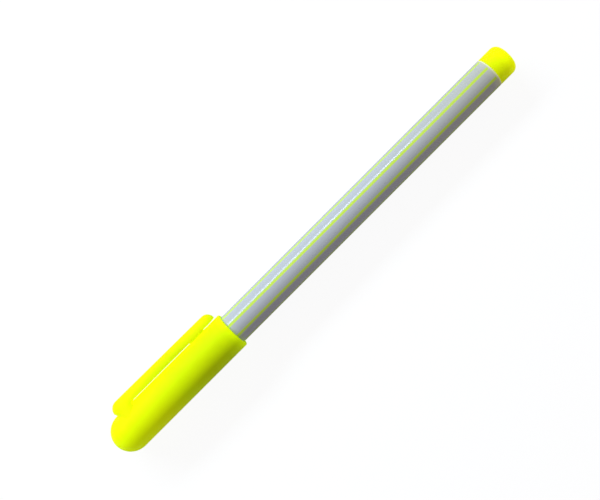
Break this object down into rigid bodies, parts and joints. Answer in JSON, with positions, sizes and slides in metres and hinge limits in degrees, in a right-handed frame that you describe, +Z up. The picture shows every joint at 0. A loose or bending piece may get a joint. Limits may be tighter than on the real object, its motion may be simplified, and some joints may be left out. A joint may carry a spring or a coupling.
{
  "type": "stick highlighter",
  "caption": "Slim stick highlighter with a striped round barrel, rounded tail plug, chisel fibre nib and a pull-off cap with a springing pocket clip.",
  "frame": {"origin": "on the pen's axis, in the middle of the bare stretch of barrel between the cap's mouth and the tail plug", "axes": "+X along the pen from the cap's closed end to the tail plug, +Y from the axis to the pocket clip, +Z up"},
  "size_m": [0.1363, 0.013, 0.01],
  "materials": {
    "barrel_plastic": "satin",
    "stripe_plastic": "satin",
    "yellow_plastic": "satin",
    "white_plastic": "satin",
    "ink_fibre": "matte",
    "clear_film": "gloss"
  },
  "bodies": {
    "barrel": {"barrel_tube": "barrel_plastic", "barrel_stripe_1": "stripe_plastic", "barrel_stripe_2": "stripe_plastic", "barrel_stripe_3": "stripe_plastic", "barrel_stripe_4": "stripe_plastic", "barrel_stripe_5": "stripe_plastic", "barrel_stripe_6": "stripe_plastic", "barrel_stripe_7": "stripe_plastic", "barrel_stripe_8": "stripe_plastic", "end_plug": "yellow_plastic", "nib_holder": "white_plastic", "nib": "ink_fibre", "reservoir_core": "ink_fibre", "reservoir_wrap": "clear_film"},
    "cap": {"cap_shell": "yellow_plastic", "inner_cap": "white_plastic"},
    "clip": {"pocket_clip": "yellow_plastic"}
  },
  "joints": [
    {"name": "cap_pull", "type": "slide", "parent": "barrel", "child": "cap", "axis": [-1, 0, 0], "range_m": [0, 0.042]},
    {"name": "clip_flex", "type": "hinge", "parent": "cap", "child": "clip", "pos_m": [-0.0748, 0.008, 0], "axis": [0, 0, 1], "range_deg": [0, 3.5], "stiffness_Nm_per_rad": 1.5}
  ]
}
